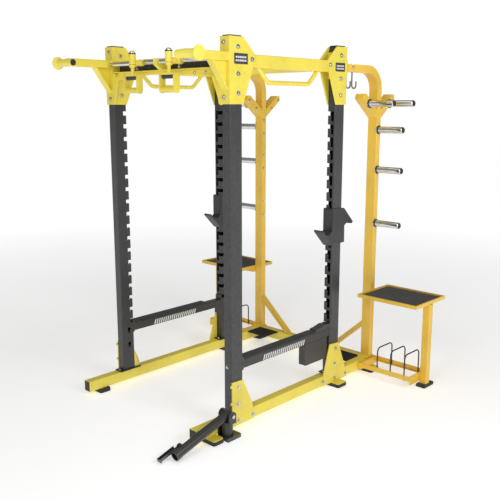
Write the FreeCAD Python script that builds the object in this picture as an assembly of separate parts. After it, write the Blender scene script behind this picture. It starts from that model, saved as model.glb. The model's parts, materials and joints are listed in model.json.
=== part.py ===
"""Power cage with a pull-up rail, plate storage and a landmine.  Millimetres, +Z up.

The cage is drawn with x = 0 midway between the two side frames, y = 0 on the
front face of the front uprights and z = 0 on the floor.  Each piece is written
shifted along Y, so that the origin is the centre of the footprint on the floor.
"""
import FreeCAD, Part
import math
import os

os.makedirs("parts", exist_ok=True)
V = FreeCAD.Vector

# ---- driving dimensions ---------------------------------------------------
HALF_WIDTH = 600.0          # outer faces of the uprights
POST_X = 63.5               # upright section across the cage
POST_Y = 101.6              # upright section front to back
REAR_FACE = 1018.0          # front face of the rear uprights
CAGE_TOP = 2438.0
WALL = 3.0
PLATE = 8.0
CORNER_R = 5.0              # outside corner radius of the tubes

RAIL_BOTTOM = 30.0
RAIL_TOP = 106.0
RAIL_FRONT = -297.0
RAIL_BACK = 1575.0
CAP = 5.0
FOOT_ROWS = ((-218.0, -136.0), (1045.0, 1143.0), (1470.0, 1575.0))
FOOT_X0 = 545.0
FOOT_X1 = 668.0

SLOT_PITCH = 88.9
SLOT_COUNT = 18
SLOT_TOP = 1993.1
SLOT_HIGH = 28.0
SLOT_DEPTH = 28.0
SLOT_LEG = 39.6
SLOT_LEG_WIDE = 22.0
SLOT_EDGE = 12.0            # metal left at the outer end of a slot
KEYHOLE_R = 13.0
STUD_R = 8.0                # studs of the lift-off parts
STUD_X = HALF_WIDTH - SLOT_EDGE - SLOT_LEG_WIDE / 2
STUD_DROP = SLOT_HIGH / 2 + SLOT_LEG - STUD_R - 0.4
HOOK_SLOT = 8               # slots counted from the top
SAFETY_SLOT = SLOT_COUNT - 1

BEAM_LOW = 2268.0
BEAM_HIGH = 2344.0
FLANGE = 8.0

ARM_LOW = 2299.0
ARM_HIGH = 2349.0
GRIP_Y = -324.0
GRIP_Z = 2322.0
GRIP_R = 25.0
SLIDE_Y = -45.0             # chrome slide rail
SLIDE_Z = 2315.0
SLIDE_R = 12.7
CARRIAGE_X = 180.0
SWIVEL_Y = -102.0           # swivel axis of each hanging handle
HANDLE_HALF = 67.0
HANDLE_TOP = 2240.0
HANDLE_BOTTOM = 2120.0
RUN = 0.06                  # radial running clearance

COLUMN_X0 = 536.5           # storage column section
COLUMN_X1 = 612.5
COLUMN_Y0 = 1510.0
COLUMN_Y1 = 1561.0
COLUMN_MID = (COLUMN_Y0 + COLUMN_Y1) / 2
COLUMN_BEND_R = 140.0
COLUMN_TOP_Z = 2303.0

HORN_R = 24.6
HORN_LONG = 210.0
HORN_SPREAD = 130.0
HORNS = ((COLUMN_MID - HORN_SPREAD, 2062.0), (COLUMN_MID + HORN_SPREAD, 2062.0),
         (COLUMN_MID, 1872.0), (COLUMN_MID, 1578.0), (COLUMN_MID, 1174.0))
HORN_BOLT = 57.0            # bolts above and below a horn
STRAP_Y = (1168.0, 1237.0)  # shanks of the strap hooks

SHELF_TOP = 656.0
SHELF_THICK = 26.0
SHELF_RIM = 14.0
BEARER = 30.0
SHELF_X0 = 614.0
SHELF_X1 = 1118.0
SHELF_DEEP = 410.0
TRAY_TOP = 100.0
TRAY_LOW = 62.0
TRAY_MID = 1489.0
TRAY_HALF = 108.0
TRAY_LEDGE = 16.0
TRAY_END = 1060.0
DIVIDER_X = (773.0, 889.0, 1008.0)
DIVIDER_HALF = 100.0
POST2_X0 = 1068.0           # outer storage post
POST2_X1 = 1123.0

HOOK_BOTTOM = 1065.0
HOOK_TOP = 1335.0
SAFETY_LOW = 396.0
SAFETY_HIGH = 470.0
FIT = 0.5                   # gap between a lift-off part and its upright

MINE_X = 640.0              # landmine
MINE_Y = -78.0
MINE_Z = 157.0
MINE_TILT = 15.65
MINE_LONG = 449.0
EAR_R = 30.0                # round top of the swivel yoke's ears
MINE_R = 29.0
MINE_BORE = 25.5
HUB_TOP = 108.0
YOKE_FLOOR = 6.0
LATCH_X = -40.0             # latch hinge, in the tube's own frame
LATCH_Y = -373.8
LATCH_Z = 5.0
LATCH_WIDE = 27.0

FOOTPRINT_FRONT = -590.3    # latch tip
FOOTPRINT_BACK = 1740.5     # rear edge of the shelf


# ---- helpers --------------------------------------------------------------
def box(x0, x1, y0, y1, z0, z1):
    """Block between two corners."""
    return Part.makeBox(x1 - x0, y1 - y0, z1 - z0, V(x0, y0, z0))


def rod(start, end, radius):
    """Round bar between two points."""
    axis = V(*end) - V(*start)
    return Part.makeCylinder(radius, axis.Length, V(*start), axis)


def prism(points, plane, low, high):
    """Outline in the plane normal to `plane`, carried from low to high."""
    place = {"x": lambda a, b: V(low, a, b),
             "y": lambda a, b: V(a, low, b),
             "z": lambda a, b: V(a, b, low)}[plane]
    along = {"x": V(high - low, 0, 0),
             "y": V(0, high - low, 0),
             "z": V(0, 0, high - low)}[plane]
    corners = [place(a, b) for a, b in points]
    wire = Part.makePolygon(corners + [corners[0]])
    return Part.Face(wire).extrude(along)


def turned(profile, origin, axis):
    """Solid of revolution.  profile holds (distance along axis, radius)."""
    points = [V(r, 0, d) for d, r in profile]
    points = [V(0, 0, profile[0][0])] + points + [V(0, 0, profile[-1][0])]
    face = Part.Face(Part.makePolygon(points + [points[0]]))
    solid = face.revolve(V(0, 0, 0), V(0, 0, 1), 360)
    solid.Placement = FreeCAD.Placement(V(*origin), FreeCAD.Rotation(V(0, 0, 1), V(*axis)))
    return solid


def round_long_edges(block, axis, radius):
    """Fillet the edges of a block that run along one axis."""
    edges = []
    for edge in block.Edges:
        run = edge.Vertexes[1].Point - edge.Vertexes[0].Point
        if abs(abs(run.normalize().dot(axis)) - 1) < 1e-6:
            edges.append(edge)
    return block.makeFillet(radius, edges)


def tube(x0, x1, y0, y1, z0, z1, axis, wall=WALL):
    """Rectangular tube, open at both ends, running along an axis."""
    run = {"x": V(1, 0, 0), "y": V(0, 1, 0), "z": V(0, 0, 1)}[axis]
    outer = round_long_edges(box(x0, x1, y0, y1, z0, z1), run, CORNER_R)
    grow = [0.0 if along == axis else wall for along in "xyz"]
    inner = box(x0 + grow[0], x1 - grow[0], y0 + grow[1], y1 - grow[1],
                z0 + grow[2], z1 - grow[2])
    return outer.cut(inner)


def mirror_x(shape):
    """The same piece on the left side frame."""
    return shape.mirror(V(0, 0, 0), V(1, 0, 0))


def flip_y(shape, middle):
    """The same piece mirrored front to back about y = middle."""
    return shape.mirror(V(0, middle, 0), V(0, 1, 0))


def both_sides(shapes):
    """Pieces of the right side frame and their mirror images."""
    return list(shapes) + [mirror_x(s) for s in shapes]


def bent_bar(points, bend, radius, plane_x):
    """Round bar in the plane x = plane_x along points (y, z) with tangent bends."""
    corners = [V(plane_x, y, z) for y, z in points]
    edges = []
    start = corners[0]
    for before, corner, after in zip(corners, corners[1:], corners[2:]):
        back = (before - corner).normalize()
        ahead = (after - corner).normalize()
        half = math.acos(max(-1.0, min(1.0, back.dot(ahead)))) / 2
        reach = bend / math.tan(half)
        entry = corner + back * reach
        leave = corner + ahead * reach
        bisector = (back + ahead).normalize()
        middle = corner + bisector * (bend / math.sin(half) - bend)
        edges.append(Part.LineSegment(start, entry).toShape())
        edges.append(Part.Arc(entry, middle, leave).toShape())
        start = leave
    edges.append(Part.LineSegment(start, corners[-1]).toShape())
    path = Part.Wire(edges)
    first = corners[1] - corners[0]
    section = Part.Wire(Part.makeCircle(radius, corners[0], first))
    return path.makePipeShell([section], True, False)


def bolt(point, axis, radius=11.0, tall=7.0):
    """Hex head on a washer, seated on a face at point, facing along axis."""
    washer = Part.makeCylinder(radius + 3, 2, V(0, 0, 0))
    corners = [V(radius * math.cos(math.radians(a)), radius * math.sin(math.radians(a)), 2)
               for a in range(0, 360, 60)]
    head = Part.Face(Part.makePolygon(corners + [corners[0]])).extrude(V(0, 0, tall))
    dome = Part.makeCone(radius * 0.84, radius * 0.6, 1.6, V(0, 0, 2 + tall))
    solid = washer.fuse(head).fuse(dome)
    solid.Placement = FreeCAD.Placement(V(*point), FreeCAD.Rotation(V(0, 0, 1), V(*axis)))
    return solid


def save(name, shapes):
    """Write one node, shifted so that the origin is the footprint's centre."""
    if not isinstance(shapes, (list, tuple)):
        shapes = [shapes]
    solids = [solid for shape in shapes for solid in shape.Solids]
    whole = solids[0].copy() if len(solids) == 1 else Part.makeCompound(solids)
    whole.translate(V(0, -(FOOTPRINT_FRONT + FOOTPRINT_BACK) / 2, 0))
    whole.exportStep("parts/" + name + ".step")


# ---- base -----------------------------------------------------------------
INNER = HALF_WIDTH - POST_X
REAR_BACK = REAR_FACE + POST_Y


def base_rail():
    """Rectangular floor tube that the uprights and the storage column stand on."""
    return tube(INNER, HALF_WIDTH, RAIL_FRONT, RAIL_BACK, RAIL_BOTTOM, RAIL_TOP, "y")


def rail_caps():
    """Plastic plugs in both ends of a base rail."""
    caps = []
    for y, inward in ((RAIL_FRONT, 1), (RAIL_BACK, -1)):
        lid = round_long_edges(box(INNER, HALF_WIDTH, min(y, y - inward * CAP),
                                   max(y, y - inward * CAP), RAIL_BOTTOM, RAIL_TOP), V(0, 1, 0), 3)
        caps.append(lid)
    return caps


def foot_plates():
    """Steel floor plates under the rail, standing out on the outer side."""
    return [round_long_edges(box(FOOT_X0, FOOT_X1, y0, y1, 24, RAIL_BOTTOM), V(0, 0, 1), 14)
            for y0, y1 in FOOT_ROWS]


def foot_pads():
    """Rubber pads under the floor plates."""
    return [round_long_edges(box(FOOT_X0 - 26, FOOT_X1 + 3, y0 - 4, y1 + 4, 0, 24), V(0, 0, 1), 16)
            for y0, y1 in FOOT_ROWS]


def base_plate(y_face):
    """Plate welded under an upright and bolted to the rail."""
    return box(INNER - 12, HALF_WIDTH, y_face - 32, y_face + POST_Y + 50, RAIL_TOP, RAIL_TOP + PLATE)


def front_gusset():
    """Outer gusset from the front upright down to the rail, with two lugs."""
    outline = ((0, RAIL_BOTTOM), (205, RAIL_BOTTOM), (205, 42), (182, 152), (98, 327), (0, 331))
    plate = prism(outline, "x", HALF_WIDTH, HALF_WIDTH + PLATE)
    lugs = [box(HALF_WIDTH, HALF_WIDTH + PLATE, -11, 1, z - 9, z + 9) for z in (304, 190)]
    return plate.fuse(lugs).removeSplitter()


def rear_gusset():
    """Outer gusset of the rear upright, spread to both sides."""
    outline = ((919, RAIL_BOTTOM), (1229, RAIL_BOTTOM), (1227, 51), (1114, 326), (1009, 334),
               (920, 46))
    return prism(outline, "x", HALF_WIDTH, HALF_WIDTH + PLATE)


def foot_rib(y_back):
    """Small triangular rib behind an upright, standing on its base plate."""
    floor = RAIL_TOP + PLATE
    return prism(((y_back, floor), (y_back + 46, floor), (y_back, 250)), "x", INNER + 3, INNER + 11)


def cross_member():
    """Rear floor tube between the two rails."""
    return tube(-INNER, INNER, COLUMN_Y0 - 6, COLUMN_Y1 + 6, RAIL_BOTTOM, RAIL_TOP, "x")


def diagonal_brace():
    """Brace from the storage column down to the rear floor tube."""
    outline = ((INNER, 394), (INNER, 346), (262, RAIL_TOP), (210, RAIL_TOP))
    return prism(outline, "y", COLUMN_Y0 + 6, COLUMN_Y1 - 6)


def tread_plate():
    """Ribbed rubber step in the corner of the rail and the rear floor tube."""
    base = box(330, INNER - 1, 1330, COLUMN_Y0 - 6, RAIL_TOP - 10, RAIL_TOP - 2)
    ribs = [box(334, INNER - 5, y, y + 6, RAIL_TOP - 3, RAIL_TOP + 4) for y in range(1338, 1496, 16)]
    return base.fuse(ribs).removeSplitter()


# ---- uprights -------------------------------------------------------------
def slot(z):
    """Hook slot: a notch in the inner side wall that turns down at its outer end."""
    reach = HALF_WIDTH - SLOT_EDGE
    half = SLOT_HIGH / 2
    side = box(INNER - 1, INNER + WALL + 1, POST_Y - SLOT_DEPTH, POST_Y + 1, z - half, z + half)
    across = box(INNER - 1, reach, POST_Y - WALL - 2, POST_Y + 1, z - half, z + half)
    leg = box(reach - SLOT_LEG_WIDE, reach, POST_Y - WALL - 2, POST_Y + 1,
              z - half - SLOT_LEG + SLOT_LEG_WIDE / 2, z)
    toe = rod((reach - SLOT_LEG_WIDE / 2, POST_Y - WALL - 2, z - half - SLOT_LEG + SLOT_LEG_WIDE / 2),
              (reach - SLOT_LEG_WIDE / 2, POST_Y + 1, z - half - SLOT_LEG + SLOT_LEG_WIDE / 2),
              SLOT_LEG_WIDE / 2)
    return side.fuse([across, leg, toe])


def slot_height(index):
    """Height of a slot, counted from the top one down."""
    return SLOT_TOP - SLOT_PITCH * index


def front_upright():
    """Slotted upright whose slots face the rear."""
    post = tube(INNER, HALF_WIDTH, 0, POST_Y, RAIL_TOP + PLATE, CAGE_TOP - 8, "z")
    holes = [slot(slot_height(i)) for i in range(SLOT_COUNT)]
    for z in (420, 307):
        holes.append(rod((INNER - 1, 60, z), (INNER + WALL + 1, 60, z), KEYHOLE_R))
        holes.append(rod((INNER - 1, 60, z - KEYHOLE_R - 7), (INNER + WALL + 1, 60, z - KEYHOLE_R - 7), 8))
    return post.cut(Part.makeCompound(holes))


def upright_at_rear(post):
    """The rear upright is the front one turned to face it."""
    return flip_y(post, REAR_BACK / 2)


def top_cap(y_face):
    """Plastic cap on an upright."""
    return round_long_edges(box(INNER + 1, HALF_WIDTH - 1, y_face + 1, y_face + POST_Y - 1,
                                CAGE_TOP - 8, CAGE_TOP + 7), V(0, 0, 1), 5)


# ---- top corners ----------------------------------------------------------
SIDE_OUTLINE = ((0, 2053), (104, 2053), (190, 2268), (203, 2346), (105, CAGE_TOP), (0, CAGE_TOP))


def corner_side_plates():
    """Plates on both sides of an upright and its side beam."""
    outer = prism(SIDE_OUTLINE, "x", HALF_WIDTH, HALF_WIDTH + PLATE)
    inner = prism(SIDE_OUTLINE, "x", INNER - PLATE, INNER)
    return [outer, inner]


def corner_end_plate():
    """Front plate of a corner, tapering into the front beam."""
    left = INNER - PLATE
    outline = ((HALF_WIDTH + PLATE, 2053), (HALF_WIDTH + PLATE, CAGE_TOP), (left, CAGE_TOP),
               (left, 2260), (468, 2260), (468, 2250), (515, 2053))
    return prism(outline, "y", -PLATE, 0)


def beam_flange():
    """End flange of a side beam, bolted to the upright."""
    return box(INNER, HALF_WIDTH, POST_Y, POST_Y + FLANGE, 2225, 2400)


def side_beam():
    """Top beam from the front upright to the rear one."""
    return tube(INNER, HALF_WIDTH, POST_Y + FLANGE, REAR_FACE - FLANGE, BEAM_LOW, BEAM_HIGH, "y")


def side_grip_bar():
    """Round grip bar bent into a shallow V under a side beam."""
    points = ((195, BEAM_LOW + 71), (363, 2184), (760, 2184), (920, BEAM_LOW + 71))
    bar = bent_bar(points, 55, 14, INNER + POST_X / 2)
    return bar.cut(box(INNER - 40, HALF_WIDTH + 40, 0, REAR_FACE, BEAM_LOW, BEAM_HIGH + 200))


def front_beam():
    """Channel beam, open to the front, with an arched skirt under it."""
    half = INNER - PLATE - 0.5
    lower = box(-half, half, -25, 60, 2262, 2268)
    web = box(-half, half, 54, 60, 2268, 2335)
    upper = box(-half, half, 0, 60, 2335, 2341)
    crown = Part.Arc(V(-half, 0, 2203), V(0, 0, 2243), V(half, 0, 2203)).toShape()
    sides = Part.makePolygon([V(half, 0, 2203), V(half, 0, 2262), V(-half, 0, 2262), V(-half, 0, 2203)])
    skirt = Part.Face(Part.Wire([crown] + sides.Edges)).extrude(V(0, 6, 0))
    return lower.fuse([web, upper, skirt]).removeSplitter()


def rear_beam():
    """Fat round bar between the rear uprights."""
    half = INNER - PLATE
    outer = rod((-half, 1070, 2312), (half, 1070, 2312), 30)
    return outer.cut(rod((-half, 1070, 2312), (half, 1070, 2312), 27))


# ---- pull-up station ------------------------------------------------------
def pullup_arm():
    """Arm that stands forward of the cage and is coped round the fat grip."""
    arm = tube(INNER, HALF_WIDTH, GRIP_Y, -PLATE, ARM_LOW, ARM_HIGH, "y")
    cope = rod((INNER - 5, GRIP_Y, GRIP_Z), (HALF_WIDTH + 5, GRIP_Y, GRIP_Z), GRIP_R + 0.05)
    ahead = box(INNER - 5, HALF_WIDTH + 5, GRIP_Y - 40, GRIP_Y, ARM_LOW - 5, ARM_HIGH + 5)
    pieces = arm.cut(cope).cut(ahead)
    return max(pieces.Solids, key=lambda s: s.Volume)


def arm_brace():
    """Web and sloping flange under a pull-up arm."""
    web = prism(((-119, ARM_LOW), (-PLATE, ARM_LOW), (-PLATE, 2146)), "x", 572, 580)
    flange = prism(((-130, ARM_LOW), (-119, ARM_LOW), (-PLATE, 2146), (-PLATE, 2131)), "x", 545, 595)
    return web.fuse(flange).removeSplitter()


def fat_grip():
    """Hollow fat grip across the arm's end, flared at the outer end."""
    outer = turned(((0, GRIP_R), (150, GRIP_R), (166, 31), (174, 40), (178, 42), (182, 42)),
                   (517, GRIP_Y, GRIP_Z), (1, 0, 0))
    return outer.cut(rod((516, GRIP_Y, GRIP_Z), (660, GRIP_Y, GRIP_Z), GRIP_R - 4))


def grip_plug():
    """Black plug in the inner end of a fat grip."""
    return turned(((-4, 18), (-3, 20), (0, GRIP_R - 4), (26, GRIP_R - 4)),
                  (517, GRIP_Y, GRIP_Z), (1, 0, 0))


def slide_rail():
    """Chrome bar that the handle carriages run on."""
    return rod((-INNER + 0.5, SLIDE_Y, SLIDE_Z), (INNER - 0.5, SLIDE_Y, SLIDE_Z), SLIDE_R)


def rail_socket():
    """Socket that holds an end of the slide rail on the arm."""
    body = rod((INNER - 20, SLIDE_Y, SLIDE_Z), (INNER, SLIDE_Y, SLIDE_Z), 21)
    return body.cut(rod((INNER - 21, SLIDE_Y, SLIDE_Z), (INNER + 1, SLIDE_Y, SLIDE_Z), SLIDE_R + 0.05))


def rail_bracket():
    """Middle support of the slide rail, standing in the channel."""
    outline = ((-66, 2300), (-66, 2330), (0, 2334.5), (54, 2334.5), (54, 2268), (-24, 2268))
    block = prism(outline, "x", -15, 15)
    return block.cut(rod((-16, SLIDE_Y, SLIDE_Z), (16, SLIDE_Y, SLIDE_Z), SLIDE_R + 0.05))


def carriage_sleeve():
    """Sleeve that slides on the rail, with the clamp block of the post."""
    x0 = CARRIAGE_X - 34
    sleeve = rod((x0, SLIDE_Y, SLIDE_Z), (x0 + 84, SLIDE_Y, SLIDE_Z), 20)
    collar = rod((x0 + 66, SLIDE_Y, SLIDE_Z), (x0 + 84, SLIDE_Y, SLIDE_Z), 23)
    block = box(CARRIAGE_X - 16, CARRIAGE_X + 16, SWIVEL_Y, SLIDE_Y, SLIDE_Z - 15, SLIDE_Z + 15)
    body = sleeve.fuse([collar, block])
    body = body.cut(rod((x0 - 1, SLIDE_Y, SLIDE_Z), (x0 + 90, SLIDE_Y, SLIDE_Z), SLIDE_R + RUN))
    body = body.cut(rod((CARRIAGE_X, SWIVEL_Y, 2200), (CARRIAGE_X, SWIVEL_Y, 2400), 22.05))
    pin_seat = rod((x0 + 62, SLIDE_Y, SLIDE_Z - 60), (x0 + 62, SLIDE_Y, SLIDE_Z), 5 + RUN)
    return body.cut(pin_seat).removeSplitter()


def carriage_post():
    """Upright post housing that holds the handle's swivel spindle."""
    profile = ((2286, 20), (2289, 22), (2372, 22), (2374, 20))
    housing = turned(profile, (CARRIAGE_X, SWIVEL_Y, 0), (0, 0, 1))
    return housing.cut(rod((CARRIAGE_X, SWIVEL_Y, 2280), (CARRIAGE_X, SWIVEL_Y, 2380), 12 + RUN))


def pull_pin():
    """Sprung pin that locks a carriage to the rail, with its knob."""
    x = CARRIAGE_X + 28
    return turned(((2272, 8), (2274, 10), (2282, 10), (2284, 5), (2301.5, 5)), (x, SLIDE_Y, 0), (0, 0, 1))


def swivel_spindle():
    """Spindle of a hanging handle, with the chrome dome above its post."""
    profile = ((2240, 12), (2283, 12), (2283, 17), (2285.7, 17), (2285.7, 12), (2374.3, 12),
               (2374.3, 18), (2378, 18), (2384, 14), (2388, 7), (2389, 3))
    return turned(profile, (CARRIAGE_X, SWIVEL_Y, 0), (0, 0, 1))


def handle_cheeks():
    """Two round-ended side plates of a hanging handle and the bars between them."""
    parts = []
    low = HANDLE_BOTTOM + 22
    high = HANDLE_TOP - 22
    for side in (-1, 1):
        x0 = CARRIAGE_X + side * HANDLE_HALF - 6
        plate = box(x0, x0 + 12, SWIVEL_Y - 22, SWIVEL_Y + 22, low, high)
        ends = [rod((x0, SWIVEL_Y, z), (x0 + 12, SWIVEL_Y, z), 22) for z in (low, high)]
        parts.append(plate.fuse(ends))
    bottom = rod((CARRIAGE_X - HANDLE_HALF, SWIVEL_Y, low), (CARRIAGE_X + HANDLE_HALF, SWIVEL_Y, low), 18)
    bridge = box(CARRIAGE_X - HANDLE_HALF, CARRIAGE_X + HANDLE_HALF, SWIVEL_Y - 16, SWIVEL_Y + 16,
                 HANDLE_TOP - 10, HANDLE_TOP)
    return parts[0].fuse([parts[1], bottom, bridge]).removeSplitter()


def handle_sleeve():
    """Black sleeve on the upper bar of a hanging handle."""
    x0 = CARRIAGE_X - HANDLE_HALF + 6
    x1 = CARRIAGE_X + HANDLE_HALF - 6
    return rod((x0, SWIVEL_Y, HANDLE_TOP - 22), (x1, SWIVEL_Y, HANDLE_TOP - 22), 11.5)


# ---- bar hooks ------------------------------------------------------------
CRADLE = ((REAR_FACE - FIT, 1066), (1008, 1068), (896, 1180), (903, 1190), (936, 1150),
          (975, 1150), (1003, 1178), (1003, HOOK_TOP), (REAR_FACE - FIT, HOOK_TOP))
WING = ((REAR_FACE - FIT, 1078), (1149, 1080), (1147, 1201), (1171, 1216), (1236, 1206), (1252, 1218),
        (1151, 1318), (1136, 1330), (REAR_FACE - FIT, HOOK_TOP))


def hook_body():
    """Hook that wraps an upright: cradle in front, cheeks, and a wing behind."""
    x0 = INNER - FIT - PLATE
    x1 = HALF_WIDTH + FIT + PLATE
    cradle = prism(CRADLE, "x", x0, x1)
    cheeks = [prism(WING, "x", x0, x0 + PLATE), prism(WING, "x", x1 - PLATE, x1)]
    bridge = box(x0, x1, REAR_BACK + FIT, REAR_BACK + FIT + PLATE, 1215, 1300)
    spacer = rod((x0 - 3, 1209, 1230), (x1 + 3, 1209, 1230), 9)
    stud_z = slot_height(HOOK_SLOT) - STUD_DROP
    stud = rod((STUD_X, REAR_FACE - 5, stud_z), (STUD_X, REAR_FACE + 9, stud_z), STUD_R)
    return cradle.fuse(cheeks + [bridge, spacer, stud]).removeSplitter()


def hook_liner():
    """Plastic strips that keep the bar off the steel."""
    x0 = INNER - FIT - PLATE + 3
    x1 = HALF_WIDTH + FIT + PLATE - 3
    upright = box(x0, x1, 997, 1003, 1186, 1325)
    floor = box(x0, x1, 938, 974, 1150, 1156)
    return [upright, floor]


# ---- safety arms ----------------------------------------------------------
def safety_arm():
    """Bar catcher between the front and the rear upright."""
    y0 = POST_Y + FIT
    y1 = REAR_FACE - FIT
    body = tube(INNER + 3, HALF_WIDTH - 3, y0 + 10, y1 - 10, SAFETY_LOW, SAFETY_HIGH - 12, "y", 5)
    end_plates = [box(INNER + 1, HALF_WIDTH - 1, y0, y0 + 10, SAFETY_LOW - 8, SAFETY_HIGH + 4),
                  box(INNER + 1, HALF_WIDTH - 1, y1 - 10, y1, SAFETY_LOW - 60, SAFETY_HIGH + 24)]
    stud_z = slot_height(SAFETY_SLOT) - STUD_DROP
    studs = [rod((STUD_X, y0 + 5, stud_z), (STUD_X, POST_Y - 9, stud_z), STUD_R),
             rod((STUD_X, y1 - 5, stud_z), (STUD_X, REAR_FACE + 9, stud_z), STUD_R)]
    return body.fuse(end_plates + studs).removeSplitter()


def safety_liner():
    """Rolled rubber strip along the top of a safety arm."""
    y0 = POST_Y + FIT + 10
    y1 = 835.0
    strip = box(INNER, HALF_WIDTH, y0, y1, SAFETY_HIGH - 12, SAFETY_HIGH + 2)
    return round_long_edges(strip, V(0, 1, 0), 5.5)


def safety_bracket():
    """Raised saddle and hanging box at the rear end of the right safety arm."""
    seat = SAFETY_HIGH - 12
    saddle = prism(((845, seat), (1007, seat), (1007, 490), (960, 494), (900, 482), (857, 478)),
                   "x", INNER + 3, HALF_WIDTH - 3)
    hanger = box(INNER + 4, HALF_WIDTH - 4, 735, 985, 238, SAFETY_LOW)
    return [saddle, round_long_edges(hanger, V(1, 0, 0), 12)]


# ---- storage --------------------------------------------------------------
def column_solid(shrink):
    """Bent storage column, full size or reduced by the wall."""
    x0 = COLUMN_X0 + shrink
    x1 = COLUMN_X1 - shrink
    deep = (COLUMN_Y1 - COLUMN_Y0) / 2 - shrink
    turn_y = COLUMN_MID - COLUMN_BEND_R
    turn_z = COLUMN_TOP_Z - COLUMN_BEND_R
    run = box(x0, x1, REAR_BACK + PLATE + 10, turn_y, COLUMN_TOP_Z - deep, COLUMN_TOP_Z + deep)
    leg = box(x0, x1, COLUMN_MID - deep, COLUMN_MID + deep, RAIL_TOP + 8, turn_z)
    corners = [V(x, turn_y, COLUMN_TOP_Z + d) for x, d in
               ((x0, -deep), (x1, -deep), (x1, deep), (x0, deep))]
    face = Part.Face(Part.makePolygon(corners + [corners[0]]))
    bend = face.revolve(V(0, turn_y, turn_z), V(1, 0, 0), -90)
    return run.fuse([leg, bend]).removeSplitter()


def storage_column():
    """Bent tube that carries the plate storage."""
    return column_solid(0).cut(column_solid(WALL))


def column_flange():
    """Flange between the column and the rear corner plate."""
    return box(COLUMN_X0 - 6, COLUMN_X1 - 4, REAR_BACK + PLATE, REAR_BACK + PLATE + 10, 2250, 2356)


def column_foot():
    """Foot plate of the storage column on the base rail."""
    return box(INNER, COLUMN_X1, COLUMN_Y0 - 40, RAIL_BACK, RAIL_TOP, RAIL_TOP + 8)


def horn_arms():
    """Sloping box arms that spread from the column and carry the upper horns."""
    arms = []
    for side in (-1, 1):
        near = COLUMN_MID + side * (COLUMN_Y1 - COLUMN_Y0) / 2
        outline = ((0, 1955), (0, 2017), (140, 2131), (168, 2131), (178, 2096))
        pocket = ((-1, 1966), (-1, 2010), (138, 2124), (160, 2124), (168, 2098))
        arm = prism([(near + side * y, z) for y, z in outline], "x", COLUMN_X0, COLUMN_X1)
        hollow = prism([(near + side * y, z) for y, z in pocket], "x", COLUMN_X0 + 5, COLUMN_X1 - 5)
        arms.append(arm.cut(hollow))
    return arms


def storage_horns():
    """Chrome pegs for plates, each with a stop flange at its root."""
    horns = []
    for y, z in HORNS:
        horns.append(rod((COLUMN_X1, y, z), (COLUMN_X1 + 6, y, z), 34))
        peg = turned(((6, HORN_R), (HORN_LONG - 4, HORN_R), (HORN_LONG, HORN_R - 4)),
                     (COLUMN_X1, y, z), (1, 0, 0))
        horns.append(peg.cut(rod((COLUMN_X1 + 16, y, z), (COLUMN_X1 + HORN_LONG + 1, y, z), 18)))
    return horns


def horn_plugs():
    """Plastic plugs in the horns' ends."""
    return [turned(((0, 20), (3, 20), (5, 17)), (COLUMN_X1 + HORN_LONG, y, z), (1, 0, 0))
            for y, z in HORNS]


def shelf_frame():
    """Folded steel tray of the upper shelf."""
    y0 = COLUMN_MID - SHELF_DEEP / 2
    y1 = COLUMN_MID + SHELF_DEEP / 2
    low = SHELF_TOP - SHELF_THICK
    outer = box(SHELF_X0, SHELF_X1, y0, y1, low, SHELF_TOP)
    inner = box(SHELF_X0 + SHELF_RIM, SHELF_X1 - SHELF_RIM, y0 + SHELF_RIM, y1 - SHELF_RIM,
                low + 4, SHELF_TOP + 1)
    return outer.cut(inner)


def shelf_carrier():
    """Two bearers under the shelf, from the column to the outer post."""
    low = SHELF_TOP - SHELF_THICK
    return [box(COLUMN_X1, POST2_X0, COLUMN_MID - 52 + i * 68, COLUMN_MID - 16 + i * 68,
                low - BEARER, low) for i in (0, 1)]


def shelf_mat():
    """Rubber mat lying in the shelf tray."""
    y0 = COLUMN_MID - SHELF_DEEP / 2
    y1 = COLUMN_MID + SHELF_DEEP / 2
    inset = SHELF_RIM + 1
    floor = SHELF_TOP - SHELF_THICK + 4
    return box(SHELF_X0 + inset, SHELF_X1 - inset, y0 + inset, y1 - inset, floor, floor + 12)


def outer_post():
    """Outer post of the storage bay."""
    return tube(POST2_X0, POST2_X1, COLUMN_Y0, COLUMN_Y1, 18, SHELF_TOP - SHELF_THICK, "z")


def post_foot():
    """Rubber foot of the outer post."""
    foot = box(POST2_X0 - 12, POST2_X1 + 10, COLUMN_MID - 60, COLUMN_MID + 78, 0, 18)
    return round_long_edges(foot, V(0, 0, 1), 12)


def tray_beams():
    """Two angle beams that a stack of bumper plates rolls on."""
    beams = []
    for side in (-1, 1):
        y = TRAY_MID + side * TRAY_HALF
        upright = box(HALF_WIDTH + 32, TRAY_END, min(y, y + side * 5), max(y, y + side * 5),
                      TRAY_LOW, TRAY_TOP)
        ledge = box(HALF_WIDTH + 32, TRAY_END, min(y, y - side * TRAY_LEDGE),
                    max(y, y - side * TRAY_LEDGE),
                    TRAY_LOW, TRAY_LOW + 5)
        beams.append(upright.fuse(ledge).removeSplitter())
    return beams


def tray_ends():
    """End members of the bumper tray, on the rail side and on the outer post."""
    y0 = TRAY_MID - TRAY_HALF - 5
    y1 = TRAY_MID + TRAY_HALF + 5
    near = box(HALF_WIDTH, HALF_WIDTH + 32, y0, y1, TRAY_LOW - 18, TRAY_TOP - 2)
    far = box(TRAY_END, POST2_X0, y0, y1, TRAY_LOW - 26, TRAY_TOP + 4)
    return [near, far]


def dividers():
    """Bent wire loops that part the bumper plates."""
    loops = []
    y0 = TRAY_MID - DIVIDER_HALF
    y1 = TRAY_MID + DIVIDER_HALF
    z0 = TRAY_LOW + 5
    for x in DIVIDER_X:
        loops.append(bent_bar(((y0, z0), (y0, 250), (y1, 250), (y1, z0)), 36, 5, x))
    return loops


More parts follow.
